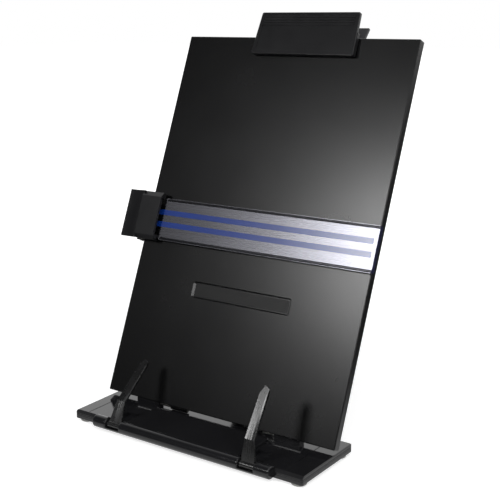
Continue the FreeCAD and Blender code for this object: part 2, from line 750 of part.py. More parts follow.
def guide_clip_body():
    low, high = guide_z - guide_half, guide_z + guide_half
    front = -guide_front
    base = -ruler_front

    def hood(inset, nose, foot, x0, x1):
        # Straight block with its upper and lower front edges cut back
        bottom, top = low + 0.2 + inset, high - 0.5 - inset
        shoulder = front + 3.0 + inset / 2
        return prism_x([(foot, bottom), (shoulder, bottom), (nose, bottom + 3.2), (nose, top - 4.0),
                        (shoulder, top), (foot, top)], x0, x1)

    mouth = upright_plate(rectangle(guide_right - 6, guide_right + 3, low + 4.6, high - 5.0, 0.5),
                          front + 2.2, base + 0.01)
    block = cut(hood(0, front, base, guide_step, guide_right),
                [hood(1.9, front + 2.2, base + 0.01, guide_step + 1.9, guide_right - 1.9), mouth])
    bosses = [rod_y(ruler_left + 6.5, front + 1.5, base, guide_z + dz, 3.0) for dz in (-9, 9)]
    grip = hollow_grip(low + 0.2, high - 0.5)
    lugs = []
    for side in (-1, 1):
        a, b = sorted((guide_z + side * 15.5, guide_z + side * 18.5))
        lugs.append(rod_z(guide_pivot_x, pivot_depth, a, b, 3.0))
        lugs.append(prism_z([(guide_pivot_x - 4.5, -6.6), (guide_pivot_x + 3.0, -6.6),
                             (guide_pivot_x + 3.0, pivot_depth), (guide_pivot_x - 3.0, pivot_depth)],
                            a, b))
    holes = [rod_y(ruler_left + 6.5, front + 2.5, base + 1, guide_z + dz, 1.1) for dz in (-9, 9)]
    holes.append(rod_z(guide_pivot_x, pivot_depth, low, high, pin_radius))
    return on_board(cut(fuse([block, grip] + bosses + lugs), holes))


def guide_front_pad():
    pad = upright_plate(rectangle(ruler_left, guide_right - 1.5, guide_z - 16, guide_z + 15, 1.0),
                        ruler_thickness - ruler_front, -pad_gap)
    holes = [rod_y(ruler_screw_x, -10, 1, guide_z + dz, 3.0) for dz in (-9, 9)]
    return on_board(cut(pad, holes))


guide_lever_line = [(-92.0, 7.9), (-104.5, 8.5), (-110.5, 9.6), (-122.6, 12.8)]


def guide_clip_lever():
    low, high = guide_z - guide_half + 0.9, guide_z + guide_half - 0.9
    blade = prism_z(bent_strip(guide_lever_line, 2.0), low, high)
    lugs = []
    for side in (-1, 1):
        a, b = sorted((guide_z + side * 11.5, guide_z + side * 15.0))
        lugs.append(rod_z(guide_pivot_x, pivot_depth, a, b, 2.8))
        lugs.append(prism_z([(guide_pivot_x - 2.8, pivot_depth), (guide_pivot_x + 2.8, pivot_depth),
                             (guide_pivot_x + 2.8, 8.4), (guide_pivot_x - 2.8, 9.4)], a, b))
    hole = rod_z(guide_pivot_x, pivot_depth, 100, 200, pin_radius + running_gap)
    return on_board(cut(fuse([blade] + lugs), [hole]))


def guide_rear_pad():
    pad = upright_plate(rectangle(-103.5, -97.0, guide_z - 15, guide_z + 15, 0.8),
                        board_depth + pad_gap, 8.4)
    blade = prism_z(bent_strip(guide_lever_line, 2.0), 100, 190)
    return on_board(cut(pad, [blade, box(-130, -80, 7.9, 20, 100, 190)]))


def guide_clip_pin():
    pin = headed_pin_x(-guide_half, guide_half, 0, 0, pin_radius)
    pin.rotate(Vector(0, 0, 0), Vector(0, 1, 0), -90)
    pin.translate(Vector(guide_pivot_x, pivot_depth, guide_z))
    return on_board(pin)


def guide_clip_spring():
    # Turned so that its legs reach the two grips
    coil = torsion_spring(210, 320 + 360 * 5, 11.6, 5.3, "guide_clip_spring")
    coil.rotate(Vector(0, 0, 0), Vector(0, 1, 0), -90)
    coil.translate(Vector(guide_pivot_x, pivot_depth, guide_z))
    return on_board(coil)


def ruler():
    front = -ruler_front
    back = front + ruler_thickness
    web = upright_plate([(ruler_shoulder, ruler_low, 3), (ruler_right, ruler_low, 1),
                         (ruler_right, ruler_high, 1), (ruler_shoulder, ruler_high, 3)], front, back)
    tongue = upright_plate(rectangle(ruler_left, ruler_shoulder + 6, tongue_low, tongue_high, 1),
                           front, back)
    middle = (front + back) / 2
    beads = [rod_x(ruler_shoulder + 3, ruler_right, middle, z, bead_radius)
             for z in (ruler_low + bead_radius, ruler_high - bead_radius)]
    end = box(ruler_right - 1.2, ruler_right, back - 0.2, front + ruler_end_depth,
              ruler_low + 0.6, ruler_high - 0.6)
    holes = [rod_y(ruler_screw_x, -10, 0, guide_z + dz, 1.2) for dz in (-9, 9)]
    return on_board(cut(fuse([web, tongue, end] + beads), holes))


def ruler_stripes():
    films = [box(stripe_left, stripe_right, -ruler_front - stripe_film, -ruler_front, low, high)
             for low, high in stripe_bands]
    return on_board(Part.makeCompound(films))


def ruler_screws():
    screws = []
    back = ruler_thickness - ruler_front
    for dz in (-9, 9):
        z = guide_z + dz
        head = soften(rod_y(ruler_screw_x, back, back + 1.3, z, 2.5), 0.4,
                      lambda p: p.y > back + 1.29)
        shank = rod_y(ruler_screw_x, 3 - guide_front, back + 0.5, z, 1.1)
        slot = [box(ruler_screw_x - 1.5, ruler_screw_x + 1.5, back + 0.8, 0, z - 0.3, z + 0.3),
                box(ruler_screw_x - 0.3, ruler_screw_x + 0.3, back + 0.8, 0, z - 1.5, z + 1.5)]
        screws.append(cut(fuse([head, shank]), slot))
    return on_board(Part.makeCompound(screws))


nodes = {
    "base_upper_shell": base_upper_shell,
    "base_lower_shell": base_lower_shell,
    "page_ledge": page_ledge,
    "base_feet": base_feet,
    "base_screws": base_screws,
    "finger_rod": finger_rod,
    "hinge_rod_left": lambda: hinge_rod(-1),
    "hinge_rod_right": lambda: hinge_rod(1),
    "prop_rack": prop_rack,
    "rack_screws": rack_screws,
    "board_panel": board_panel,
    "hinge_bracket_left": lambda: hinge_bracket(-1),
    "hinge_bracket_right": lambda: hinge_bracket(1),
    "prop_bracket": prop_bracket,
    "prop_leg_pin": prop_leg_pin,
    "prop_leg": prop_leg,
    "prop_foot_rod": prop_foot_rod,
    "prop_foot_sleeve": prop_foot_sleeve,
    "page_finger_left": lambda: page_finger(-1, left_root_lean),
    "page_finger_right": lambda: page_finger(1, right_root_lean),
    "top_clip_body": top_clip_body,
    "top_clip_front_pad": top_clip_front_pad,
    "top_clip_lever": top_clip_lever,
    "top_clip_rear_pad": top_clip_rear_pad,
    "top_clip_pin": top_clip_pin,
    "top_clip_spring": top_clip_spring,
    "guide_clip_body": guide_clip_body,
    "guide_front_pad": guide_front_pad,
    "guide_clip_lever": guide_clip_lever,
    "guide_rear_pad": guide_rear_pad,
    "guide_clip_pin": guide_clip_pin,
    "guide_clip_spring": guide_clip_spring,
    "ruler": ruler,
    "ruler_stripes": ruler_stripes,
    "ruler_screws": ruler_screws,
}

os.makedirs("parts", exist_ok=True)
for name, make in nodes.items():
    shape = make()
    shape.translate(Vector(-model_centre_x, -model_centre_y, 0))
    print(name, "solids", len(shape.Solids), "valid", shape.isValid(),
          "volume", round(shape.Volume, 1))
    shape.exportStep("parts/" + name + ".step")
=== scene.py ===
import json
import math

import bpy
from mathutils import Euler, Matrix, Vector


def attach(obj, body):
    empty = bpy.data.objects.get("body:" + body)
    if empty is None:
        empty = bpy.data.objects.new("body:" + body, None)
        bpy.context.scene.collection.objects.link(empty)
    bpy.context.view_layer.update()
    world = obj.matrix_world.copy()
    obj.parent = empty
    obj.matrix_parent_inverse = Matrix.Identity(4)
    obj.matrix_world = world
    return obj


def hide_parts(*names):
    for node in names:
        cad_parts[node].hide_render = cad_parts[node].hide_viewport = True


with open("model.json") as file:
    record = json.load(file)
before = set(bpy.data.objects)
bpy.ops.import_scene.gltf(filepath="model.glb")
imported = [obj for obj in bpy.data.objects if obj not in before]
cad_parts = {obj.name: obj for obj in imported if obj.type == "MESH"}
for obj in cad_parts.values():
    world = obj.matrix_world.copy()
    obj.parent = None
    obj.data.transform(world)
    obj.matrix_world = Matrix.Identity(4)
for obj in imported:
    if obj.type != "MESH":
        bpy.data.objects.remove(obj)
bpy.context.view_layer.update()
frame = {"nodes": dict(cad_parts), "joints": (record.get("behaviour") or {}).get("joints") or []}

mm = 0.001
scene = bpy.context.scene


# Materials: small helpers first

def toLinear(hexColour):
    # sRGB hex to the linear values that shaders take
    channels = [int(hexColour[i:i + 2], 16) / 255 for i in (1, 3, 5)]
    return [c / 12.92 if c <= 0.04045 else ((c + 0.055) / 1.055) ** 2.4 for c in channels] + [1.0]


def newMaterial(name):
    material = bpy.data.materials.new(name)
    material.use_nodes = True
    material.node_tree.nodes.clear()
    return material


def addNode(material, kind, settings=None, inputs=None, links=None):
    # One node with its properties, its socket values and what is plugged into it, which is a
    # socket, or a node whose first output is meant
    node = material.node_tree.nodes.new(kind)
    for key, value in (settings or {}).items():
        setattr(node, key, value)
    for key, value in (inputs or {}).items():
        node.inputs[key].default_value = value
    for key, source in (links or {}).items():
        socket = source.outputs[0] if isinstance(source, bpy.types.Node) else source
        material.node_tree.links.new(socket, node.inputs[key])
    return node


def perMm(size):
    # Noise scales count patterns per metre; this takes the pattern's size in mm
    return 1000.0 / size


def span(fromLow, fromHigh, toLow, toHigh):
    # What a Map Range node reads between, and what it gives for that
    return {"From Min": fromLow, "From Max": fromHigh, "To Min": toLow, "To Max": toHigh}


# Noise lies mostly between 0.3 and 0.7, so only a band of it is stretched over the full change
noiseBand = {"wide": (0.3, 0.7), "middle": (0.35, 0.65)}
edgeSeen = {"samples": 6, "sharp": 0.75, "flat": 0.999}


def edgeMask(material, radius):
    # Bright along edges: the rounded normal of the Bevel node differs from the true one there
    bevel = addNode(material, "ShaderNodeBevel", {"samples": edgeSeen["samples"]},
                    {"Radius": radius * mm})
    geometry = addNode(material, "ShaderNodeNewGeometry")
    likeness = addNode(material, "ShaderNodeVectorMath", {"operation": "DOT_PRODUCT"},
                       links={0: bevel, 1: geometry.outputs["True Normal"]}).outputs["Value"]
    return addNode(material, "ShaderNodeMapRange",
                   inputs=span(edgeSeen["sharp"], edgeSeen["flat"], 1.0, 0.0),
                   links={"Value": likeness})


plasticWear = (0.4, 0.62)  # rub noise at which an edge starts to pale, and at which it is palest


def mouldedPlastic(name, look):
    # Injection moulding leaves a grain that blurs the shine, faint clouds from the melt's flow,
    # patches that are rubbed smoother, and edges that are rubbed paler
    material = newMaterial(name)
    place = addNode(material, "ShaderNodeTexCoord").outputs["Object"]
    flow = addNode(material, "ShaderNodeTexNoise",
                   inputs={"Scale": perMm(look["flowSize"]), "Detail": 3.0, "Roughness": 0.55},
                   links={"Vector": place})
    grain = addNode(material, "ShaderNodeTexNoise",
                    inputs={"Scale": perMm(look["grainSize"]), "Detail": 4.0, "Roughness": 0.6},
                    links={"Vector": place})
    rubs = addNode(material, "ShaderNodeTexNoise",
                   inputs={"Scale": perMm(look["rubSize"]), "Detail": 6.0, "Roughness": 0.7},
                   links={"Vector": place})
    cloud = addNode(material, "ShaderNodeMapRange", inputs=span(*noiseBand["middle"], 0.0, 1.0),
                    links={"Value": flow})
    tone = addNode(material, "ShaderNodeMix", {"data_type": "RGBA"},
                   {6: toLinear(look["dark"]), 7: toLinear(look["light"])}, {0: cloud})
    rubbed = addNode(material, "ShaderNodeMapRange", inputs=span(*plasticWear, 0.0, 1.0),
                     links={"Value": rubs})
    wear = addNode(material, "ShaderNodeMath", {"operation": "MULTIPLY"},
                   links={0: edgeMask(material, look["edgeWidth"]), 1: rubbed})
    colour = addNode(material, "ShaderNodeMix", {"data_type": "RGBA"},
                     {7: toLinear(look["worn"])}, {0: wear, 6: tone.outputs[2]})
    rough = addNode(material, "ShaderNodeMapRange",
                    inputs=span(*noiseBand["middle"], look["roughLow"], look["roughHigh"]),
                    links={"Value": rubs})
    bump = addNode(material, "ShaderNodeBump",
                   inputs={"Strength": look["grainStrength"], "Distance": look["grainDepth"] * mm},
                   links={"Height": grain})
    shader = addNode(material, "ShaderNodeBsdfPrincipled", inputs={"IOR": look["ior"]},
                     links={"Base Color": colour.outputs[2], "Roughness": rough, "Normal": bump})
    addNode(material, "ShaderNodeOutputMaterial", links={"Surface": shader})
    return material


enamelWear = (0.5, 0.7)  # the same for enamel and its cloud noise; fewer edges pale


def enamelledSteel(name, look):
    # Stoved enamel on pressed sheet: fine orange peel, specks of dust under the paint, slow
    # clouds in its shine, and edges where it is rubbed grey
    material = newMaterial(name)
    place = addNode(material, "ShaderNodeTexCoord").outputs["Object"]
    peel = addNode(material, "ShaderNodeTexNoise",
                   inputs={"Scale": perMm(look["peelSize"]), "Detail": 2.0, "Roughness": 0.5},
                   links={"Vector": place})
    speck = addNode(material, "ShaderNodeTexNoise",
                    inputs={"Scale": perMm(look["speckSize"]), "Detail": 3.0, "Roughness": 0.7},
                    links={"Vector": place})
    cloud = addNode(material, "ShaderNodeTexNoise",
                    inputs={"Scale": perMm(look["cloudSize"]), "Detail": 4.0, "Roughness": 0.6},
                    links={"Vector": place})
    dusty = addNode(material, "ShaderNodeMapRange", inputs=span(*noiseBand["wide"], 0.0, 1.0),
                    links={"Value": speck})
    tone = addNode(material, "ShaderNodeMix", {"data_type": "RGBA"},
                   {6: toLinear(look["dark"]), 7: toLinear(look["light"])}, {0: dusty})
    rubbed = addNode(material, "ShaderNodeMapRange", inputs=span(*enamelWear, 0.0, 1.0),
                     links={"Value": cloud})
    wear = addNode(material, "ShaderNodeMath", {"operation": "MULTIPLY"},
                   links={0: edgeMask(material, look["edgeWidth"]), 1: rubbed})
    colour = addNode(material, "ShaderNodeMix", {"data_type": "RGBA"},
                     {7: toLinear(look["worn"])}, {0: wear, 6: tone.outputs[2]})
    rough = addNode(material, "ShaderNodeMapRange",
                    inputs=span(*noiseBand["middle"], look["roughLow"], look["roughHigh"]),
                    links={"Value": cloud})
    height = addNode(material, "ShaderNodeMath", {"operation": "MULTIPLY_ADD"},
                     {1: look["speckShare"]}, {0: speck, 2: peel})
    bump = addNode(material, "ShaderNodeBump",
                   inputs={"Strength": look["peelStrength"], "Distance": look["peelDepth"] * mm},
                   links={"Height": height})
    shader = addNode(material, "ShaderNodeBsdfPrincipled", inputs={"IOR": look["ior"]},
                     links={"Base Color": colour.outputs[2], "Roughness": rough, "Normal": bump})
    addNode(material, "ShaderNodeOutputMaterial", links={"Surface": shader})
    return material


def drawnMetal(name, look):
    # Bright metal or metallised film: drawn lines along X blur the shine, and it clouds slightly
    material = newMaterial(name)
    place = addNode(material, "ShaderNodeTexCoord").outputs["Object"]
    stretched = addNode(material, "ShaderNodeMapping", inputs={"Scale": look["stretch"]},
                        links={"Vector": place})
    lines = addNode(material, "ShaderNodeTexNoise",
                    inputs={"Scale": perMm(look["lineSize"]), "Detail": 3.0},
                    links={"Vector": stretched})
    cloud = addNode(material, "ShaderNodeTexNoise",
                    inputs={"Scale": perMm(look["cloudSize"]), "Detail": 3.0},
                    links={"Vector": place})
    clouded = addNode(material, "ShaderNodeMapRange", inputs=span(*noiseBand["wide"], 0.0, 1.0),
                      links={"Value": cloud})
    colour = addNode(material, "ShaderNodeMix", {"data_type": "RGBA"},
                     {6: toLinear(look["dark"]), 7: toLinear(look["light"])}, {0: clouded})
    rough = addNode(material, "ShaderNodeMapRange",
                    inputs=span(*noiseBand["wide"], look["roughLow"], look["roughHigh"]),
                    links={"Value": lines})
    bump = addNode(material, "ShaderNodeBump",
                   inputs={"Strength": look["lineStrength"], "Distance": look["lineDepth"] * mm},
                   links={"Height": lines})
    shader = addNode(material, "ShaderNodeBsdfPrincipled", inputs={"Metallic": 1.0},
                     links={"Base Color": colour.outputs[2], "Roughness": rough, "Normal": bump})
    addNode(material, "ShaderNodeOutputMaterial", links={"Surface": shader})
    return material


def mouldedRubber(name, look):
    # Matt moulded rubber with a dusty bloom
    material = newMaterial(name)
    place = addNode(material, "ShaderNodeTexCoord").outputs["Object"]
    bloom = addNode(material, "ShaderNodeTexNoise",
                    inputs={"Scale": perMm(look["bloomSize"]), "Detail": 5.0, "Roughness": 0.65},
                    links={"Vector": place})
    grain = addNode(material, "ShaderNodeTexNoise",
                    inputs={"Scale": perMm(look["grainSize"]), "Detail": 2.0},
                    links={"Vector": place})
    bloomed = addNode(material, "ShaderNodeMapRange", inputs=span(*noiseBand["wide"], 0.0, 1.0),
                      links={"Value": bloom})
    colour = addNode(material, "ShaderNodeMix", {"data_type": "RGBA"},
                     {6: toLinear(look["dark"]), 7: toLinear(look["light"])}, {0: bloomed})
    rough = addNode(material, "ShaderNodeMapRange",
                    inputs=span(*noiseBand["wide"], look["roughLow"], look["roughHigh"]),
                    links={"Value": bloom})
    bump = addNode(material, "ShaderNodeBump",
                   inputs={"Strength": look["grainStrength"], "Distance": look["grainDepth"] * mm},
                   links={"Height": grain})
    shader = addNode(material, "ShaderNodeBsdfPrincipled", inputs={"IOR": look["ior"]},
                     links={"Base Color": colour.outputs[2], "Roughness": rough, "Normal": bump})
    addNode(material, "ShaderNodeOutputMaterial", links={"Surface": shader})
    return material


# Sizes are in mm. Real spark-eroded grain and drawn lines are about 0.05 mm wide, too fine to
# show, so grains and lines are drawn at 0.3 to 1 mm

# Polished ABS of the base: black with a wet shine, and a long wave in it from the mould
glossAbs = mouldedPlastic("polishedAbs", {
    "dark": "#1a1a1c", "light": "#1e1e20", "worn": "#343436", "flowSize": 40, "grainSize": 2.5,
    "rubSize": 14, "edgeWidth": 0.25, "roughLow": 0.09, "roughHigh": 0.14, "grainStrength": 0.06,
    "grainDepth": 0.02, "ior": 1.5})
# Satin ABS of the clips and the rack: black with a soft, even shine
satinAbs = mouldedPlastic("satinAbs", {
    "dark": "#151517", "light": "#18181a", "worn": "#3e3e40", "flowSize": 45, "grainSize": 0.5,
    "rubSize": 9, "edgeWidth": 0.3, "roughLow": 0.29, "roughHigh": 0.33, "grainStrength": 0.12,
    "grainDepth": 0.02, "ior": 1.5})
# Fingers: darker than the clips, with a stronger shine that lights up a whole facet
fingerPlastic = mouldedPlastic("polishedFingerPlastic", {
    "dark": "#0e0e0f", "light": "#101011", "worn": "#444446", "flowSize": 30, "grainSize": 0.5,
    "rubSize": 9, "edgeWidth": 0.15, "roughLow": 0.26, "roughHigh": 0.29, "grainStrength": 0.06,
    "grainDepth": 0.02, "ior": 1.7})
# Grey ABS of the top clip's lever: dull, with a deeper grain
greyAbs = mouldedPlastic("greySatinAbs", {
    "dark": "#404042", "light": "#48484a", "worn": "#6c6c6e", "flowSize": 25, "grainSize": 0.5,
    "rubSize": 7, "edgeWidth": 0.3, "roughLow": 0.36, "roughHigh": 0.48, "grainStrength": 0.3,
    "grainDepth": 0.04, "ior": 1.5})
# Enamel of the board, its brackets and the leg: near black, semi-gloss, with a faint orange peel
enamel = enamelledSteel("stovedBlackEnamel", {
    "dark": "#09090a", "light": "#0c0c0d", "worn": "#343436", "peelSize": 1.6, "speckSize": 0.5,
    "speckShare": 0.25, "cloudSize": 60, "edgeWidth": 0.3, "roughLow": 0.255, "roughHigh": 0.275,
    "peelStrength": 0.05, "peelDepth": 0.03, "ior": 1.5})
# Zinc-plated wire, rod and screws: bright, a little cloudy
zincSteel = drawnMetal("zincPlatedSteel", {
    "dark": "#b4b4b0", "light": "#d2d2ce", "cloudSize": 6, "lineSize": 0.4,
    "stretch": (0.06, 1.0, 1.0), "roughLow": 0.18, "roughHigh": 0.36, "lineStrength": 0.25,
    "lineDepth": 0.02})
# Feet: pale grey and matt
footRubber = mouldedRubber("greyFootRubber", {
    "dark": "#8e8e8b", "light": "#a8a8a4", "bloomSize": 4, "grainSize": 0.4, "roughLow": 0.6,
    "roughHigh": 0.85, "grainStrength": 0.4, "grainDepth": 0.06, "ior": 1.5})
# Pads and the leg's sleeve: black and matt
padRubber = mouldedRubber("blackPadRubber", {
    "dark": "#161616", "light": "#232322", "bloomSize": 4, "grainSize": 0.4, "roughLow": 0.6,
    "roughHigh": 0.85, "grainStrength": 0.4, "grainDepth": 0.06, "ior": 1.5})
# Ruler's face: silvered PVC, dark grey until it mirrors a lamp, when it turns white
silverFilm = drawnMetal("silveredPvc", {
    "dark": "#737379", "light": "#77777d", "cloudSize": 40, "lineSize": 1.0,
    "stretch": (0.01, 1.0, 1.0), "roughLow": 0.26, "roughHigh": 0.285, "lineStrength": 0.25,
    "lineDepth": 0.02})
# Ruler's raised beads: the same film and glossier, with a darker colour that is painted shade for
# the dark reflections along the beads
paintedShadeBeadFilm = drawnMetal("silveredBeadPvcPaintedShade", {
    "dark": "#55555a", "light": "#5a5a5f", "cloudSize": 40, "lineSize": 1.0,
    "stretch": (0.01, 1.0, 1.0), "roughLow": 0.22, "roughHigh": 0.26, "lineStrength": 0.25,
    "lineDepth": 0.02})
# Ruler's stripes: royal blue print under a clear gloss
blueFilm = mouldedPlastic("bluePrintedFilm", {
    "dark": "#0c2e7a", "light": "#0e3280", "worn": "#2c4894", "flowSize": 40, "grainSize": 0.5,
    "rubSize": 12, "edgeWidth": 0.1, "roughLow": 0.24, "roughHigh": 0.255, "grainStrength": 0.03,
    "grainDepth": 0.02, "ior": 1.72})
# Ruler's cut end: the navy PVC under the film
navyPvc = mouldedPlastic("navyExtrudedPvc", {
    "dark": "#1a1a38", "light": "#1e1e40", "worn": "#3c3c66", "flowSize": 30, "grainSize": 0.6,
    "rubSize": 10, "edgeWidth": 0.15, "roughLow": 0.2, "roughHigh": 0.26, "grainStrength": 0.05,
    "grainDepth": 0.02, "ior": 1.5})
# Label: film that is blacker and duller than the enamel round it
labelFilm = mouldedPlastic("blankLabelFilm", {
    "dark": "#070708", "light": "#0b0b0c", "worn": "#242426", "flowSize": 12, "grainSize": 0.3,
    "rubSize": 5, "edgeWidth": 0.1, "roughLow": 0.4, "roughHigh": 0.46, "grainStrength": 0.1,
    "grainDepth": 0.02, "ior": 1.42})
print("materials made")

# The steel pins, rods, springs and screws aren't listed and get the zinc
nodeMaterials = {
    "base_upper_shell": glossAbs, "base_lower_shell": glossAbs, "page_ledge": glossAbs,
    "prop_rack": satinAbs, "base_feet": footRubber,
    "page_finger_left": fingerPlastic, "page_finger_right": fingerPlastic,
    "board_panel": enamel, "hinge_bracket_left": enamel, "hinge_bracket_right": enamel,
    "prop_bracket": enamel, "prop_leg": enamel, "prop_foot_sleeve": padRubber,
    "top_clip_body": satinAbs, "top_clip_lever": greyAbs, "guide_clip_body": satinAbs,
    "guide_clip_lever": satinAbs, "top_clip_front_pad": padRubber, "top_clip_rear_pad": padRubber,
    "guide_front_pad": padRubber, "guide_rear_pad": padRubber,
    "ruler": silverFilm, "ruler_stripes": blueFilm,
}

for name, node in frame["nodes"].items():
    node.data.materials.clear()
    node.data.materials.append(nodeMaterials.get(name, zincSteel))
print("CAD nodes finished")


# New pieces, each modelled in place of a CAD node or on one

# The board at rest: degrees off upright, and its lower edge's place in mm
boardPlace = {"lean": 22.9, "foot": (8.55, -54.9, 13.6)}
jointPlaces = {joint["name"]: joint.get("pos_m") for joint in frame["joints"]}


def makeActive(piece):
    # Out of edit mode, everything deselected, then this piece alone; None leaves nothing selected
    if bpy.context.object and bpy.context.object.mode != "OBJECT":
        bpy.ops.object.mode_set(mode="OBJECT")
    bpy.ops.object.select_all(action="DESELECT")
    if piece:
        piece.select_set(True)
        bpy.context.view_layer.objects.active = piece


def editWhere(piece, kind, chosen):
    # Leaves the piece in edit mode with the faces or vertices that pass the test selected
    makeActive(piece)
    bpy.ops.object.mode_set(mode="EDIT")
    bpy.ops.mesh.select_mode(type=kind)
    bpy.ops.mesh.select_all(action="DESELECT")
    bpy.ops.object.mode_set(mode="OBJECT")
    for part in piece.data.polygons if kind == "FACE" else piece.data.vertices:
        part.select = chosen(part)
    bpy.ops.object.mode_set(mode="EDIT")


def applyPlace(piece):
    makeActive(piece)
    bpy.ops.object.transform_apply(location=True, rotation=True, scale=True)


def applyModifier(piece, kind, settings):
    makeActive(piece)
    modifier = piece.modifiers.new("made", kind)
    for key, value in settings.items():
        setattr(modifier, key, value)
    bpy.ops.object.modifier_apply(modifier=modifier.name)


def leanAndPlace(piece, lean, place):
    # Leans a piece back about the X axis, moves it and writes both into its mesh
    piece.rotation_euler = (-math.radians(lean), 0.0, 0.0)
    piece.location = place
    applyPlace(piece)


def dress(piece, body, materials, smoothAngle, nodes=()):
    # Flat faces keep their own normals, so that only the roundings shade smoothly
    makeActive(piece)
    bpy.ops.object.shade_smooth_by_angle(angle=math.radians(smoothAngle))
    applyModifier(piece, "WEIGHTED_NORMAL", {"mode": "FACE_AREA", "weight": 100, "keep_sharp": True})
    piece.data.materials.clear()
    for material in materials:
        piece.data.materials.append(material)
    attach(piece, body)
    if nodes:
        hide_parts(*nodes)


# Page fingers. Heights run up from the rod along the straight bar, before it is bent at the knee
finger = {"rootWidth": 12.0, "kneeWidth": 7.4, "tipWidth": 6.8, "thickness": 1.9, "rootLength": 18.6,
          "bladeLength": 38.1, "bend": 25.5, "leftChamfer": 5.1, "rightChamfer": 2.0, "apex": -0.4,
          "apexWidth": 0.6, "ribSteps": (-1.6, 0.1, 1.8), "stepWidth": 0.24, "ribRise": 0.16,
          "ribEnd": 1.0, "rightFrom": 2.9, "rightRound": 0.35, "rightSegments": 6,
          "edgeRound": 0.08, "edgeAngle": 28, "edgeSegments": 2, "hubRadius": 2.8,
          "hubWidth": 12.6, "hubRound": 0.3, "hubAngle": 40, "hubSides": 48, "rodHole": 1.55,
          "drillLength": 30.0, "smoothAngle": 22, "topFacing": 0.9, "near": 0.01,
          "leans": {"left": 25.8, "right": 7.6}}
knee = finger["rootLength"]
shoulders = knee + finger["bladeLength"] - finger["leftChamfer"]


def resizeAcross(share, centre):
    bpy.ops.transform.resize(value=(share, 1.0, 1.0), center_override=(centre * mm, 0.0, 0.0))


def extrudeUp(rise):
    bpy.ops.mesh.extrude_region_move(TRANSFORM_OT_translate={"value": (0.0, 0.0, rise * mm)})


def addFingerBar():
    # Straight bar that narrows to the knee, with a pointed tip off its middle
    makeActive(None)
    bpy.ops.mesh.primitive_cube_add(size=1.0, location=(0, 0, knee / 2 * mm), scale=(
        finger["rootWidth"] * mm, finger["thickness"] * mm, knee * mm))
    bar = bpy.context.object
    applyPlace(bar)
    editWhere(bar, "FACE", lambda face: face.normal.z > finger["topFacing"])
    resizeAcross(finger["kneeWidth"] / finger["rootWidth"], 0.0)
    extrudeUp(finger["bladeLength"] - finger["leftChamfer"])
    resizeAcross(finger["tipWidth"] / finger["kneeWidth"], 0.0)
    half, apex = finger["tipWidth"] / 2, finger["apex"]
    leftSide = apex - (half + apex) * finger["rightChamfer"] / finger["leftChamfer"]
    extrudeUp(finger["leftChamfer"] - finger["rightChamfer"])
    resizeAcross((half - leftSide) / finger["tipWidth"], half)
    extrudeUp(finger["rightChamfer"])
    share = finger["apexWidth"] / (half - leftSide)
    resizeAcross(share, (apex - share * (half + leftSide) / 2) / (1 - share))
    return bar


def raiseRibs(bar):
    # Three small steps along the front leave four facets that face a little to the right
    half = finger["stepWidth"] / 2
    for place in [step + offset for step in finger["ribSteps"] for offset in (-half, half)]:
        bpy.ops.mesh.select_all(action="SELECT")
        bpy.ops.mesh.bisect(plane_co=(place * mm, 0, 0), plane_no=(1, 0, 0))
    ribTop = shoulders - finger["ribEnd"]
    bpy.ops.mesh.select_all(action="SELECT")
    bpy.ops.mesh.bisect(plane_co=(0, 0, ribTop * mm), plane_no=(0, 0, 1))

    def onCrest(vertex):
        x, y, z = vertex.co / mm
        leftEdge = x < finger["ribSteps"][0] - half - finger["near"]
        crest = any(abs(x - step - half) < finger["near"] for step in finger["ribSteps"])
        return y < 0 and z < ribTop - finger["near"] and (leftEdge or crest)

    editWhere(bar, "VERT", onCrest)
    bpy.ops.transform.translate(value=(0.0, -finger["ribRise"] * mm, 0.0))


def roundRightEdge(bar):
    def onRightEdge(vertex):
        x, y, z = vertex.co / mm
        return (y < 0 and x > finger["rightFrom"]
                and knee - finger["near"] < z < shoulders + finger["near"])

    editWhere(bar, "VERT", onRightEdge)
    bpy.ops.mesh.bevel(offset=finger["rightRound"] * mm, segments=finger["rightSegments"],
                       affect="EDGES")


def bendAtKnee(bar):
    # The knee's own vertices turn half as far, which keeps the thickness
    def turn(angle, chosen):
        editWhere(bar, "VERT", chosen)
        bpy.ops.transform.rotate(value=math.radians(angle), orient_axis="X",
                                 center_override=(0.0, 0.0, knee * mm))

    turn(finger["bend"], lambda vertex: vertex.co.z / mm - knee > finger["near"])
    turn(finger["bend"] / 2, lambda vertex: abs(vertex.co.z / mm - knee) <= finger["near"])


def addRoller(radius, width):
    # Cylinder along X with rounded rims: the hub, or the drill for the rod's hole
    makeActive(None)
    bpy.ops.mesh.primitive_cylinder_add(vertices=finger["hubSides"], radius=radius * mm,
                                        depth=width * mm, rotation=(0, math.radians(90), 0))
    roller = bpy.context.object
    applyPlace(roller)
    applyModifier(roller, "BEVEL", {"width": finger["hubRound"] * mm,
                                    "segments": finger["edgeSegments"], "limit_method": "ANGLE",
                                    "angle_limit": math.radians(finger["hubAngle"])})
    return roller


def addFinger(side, lean):
    bar = addFingerBar()
    bar.name = "pageFinger_" + side
    raiseRibs(bar)
    roundRightEdge(bar)
    bendAtKnee(bar)
    applyModifier(bar, "BEVEL", {"width": finger["edgeRound"] * mm,
                                 "segments": finger["edgeSegments"], "limit_method": "ANGLE",
                                 "angle_limit": math.radians(finger["edgeAngle"])})
    for radius, width, operation in ((finger["hubRadius"], finger["hubWidth"], "UNION"),
                                     (finger["rodHole"], finger["drillLength"], "DIFFERENCE")):
        roller = addRoller(radius, width)
        applyModifier(bar, "BOOLEAN", {"operation": operation, "solver": "EXACT", "object": roller})
        bpy.data.objects.remove(roller)
    leanAndPlace(bar, lean, Vector(jointPlaces["page_finger_%s_swing" % side]))
    dress(bar, "finger_" + side, [fingerPlastic], finger["smoothAngle"],
          ["page_finger_" + side])


for side, lean in finger["leans"].items():
    addFinger(side, lean)
print("page fingers modelled")


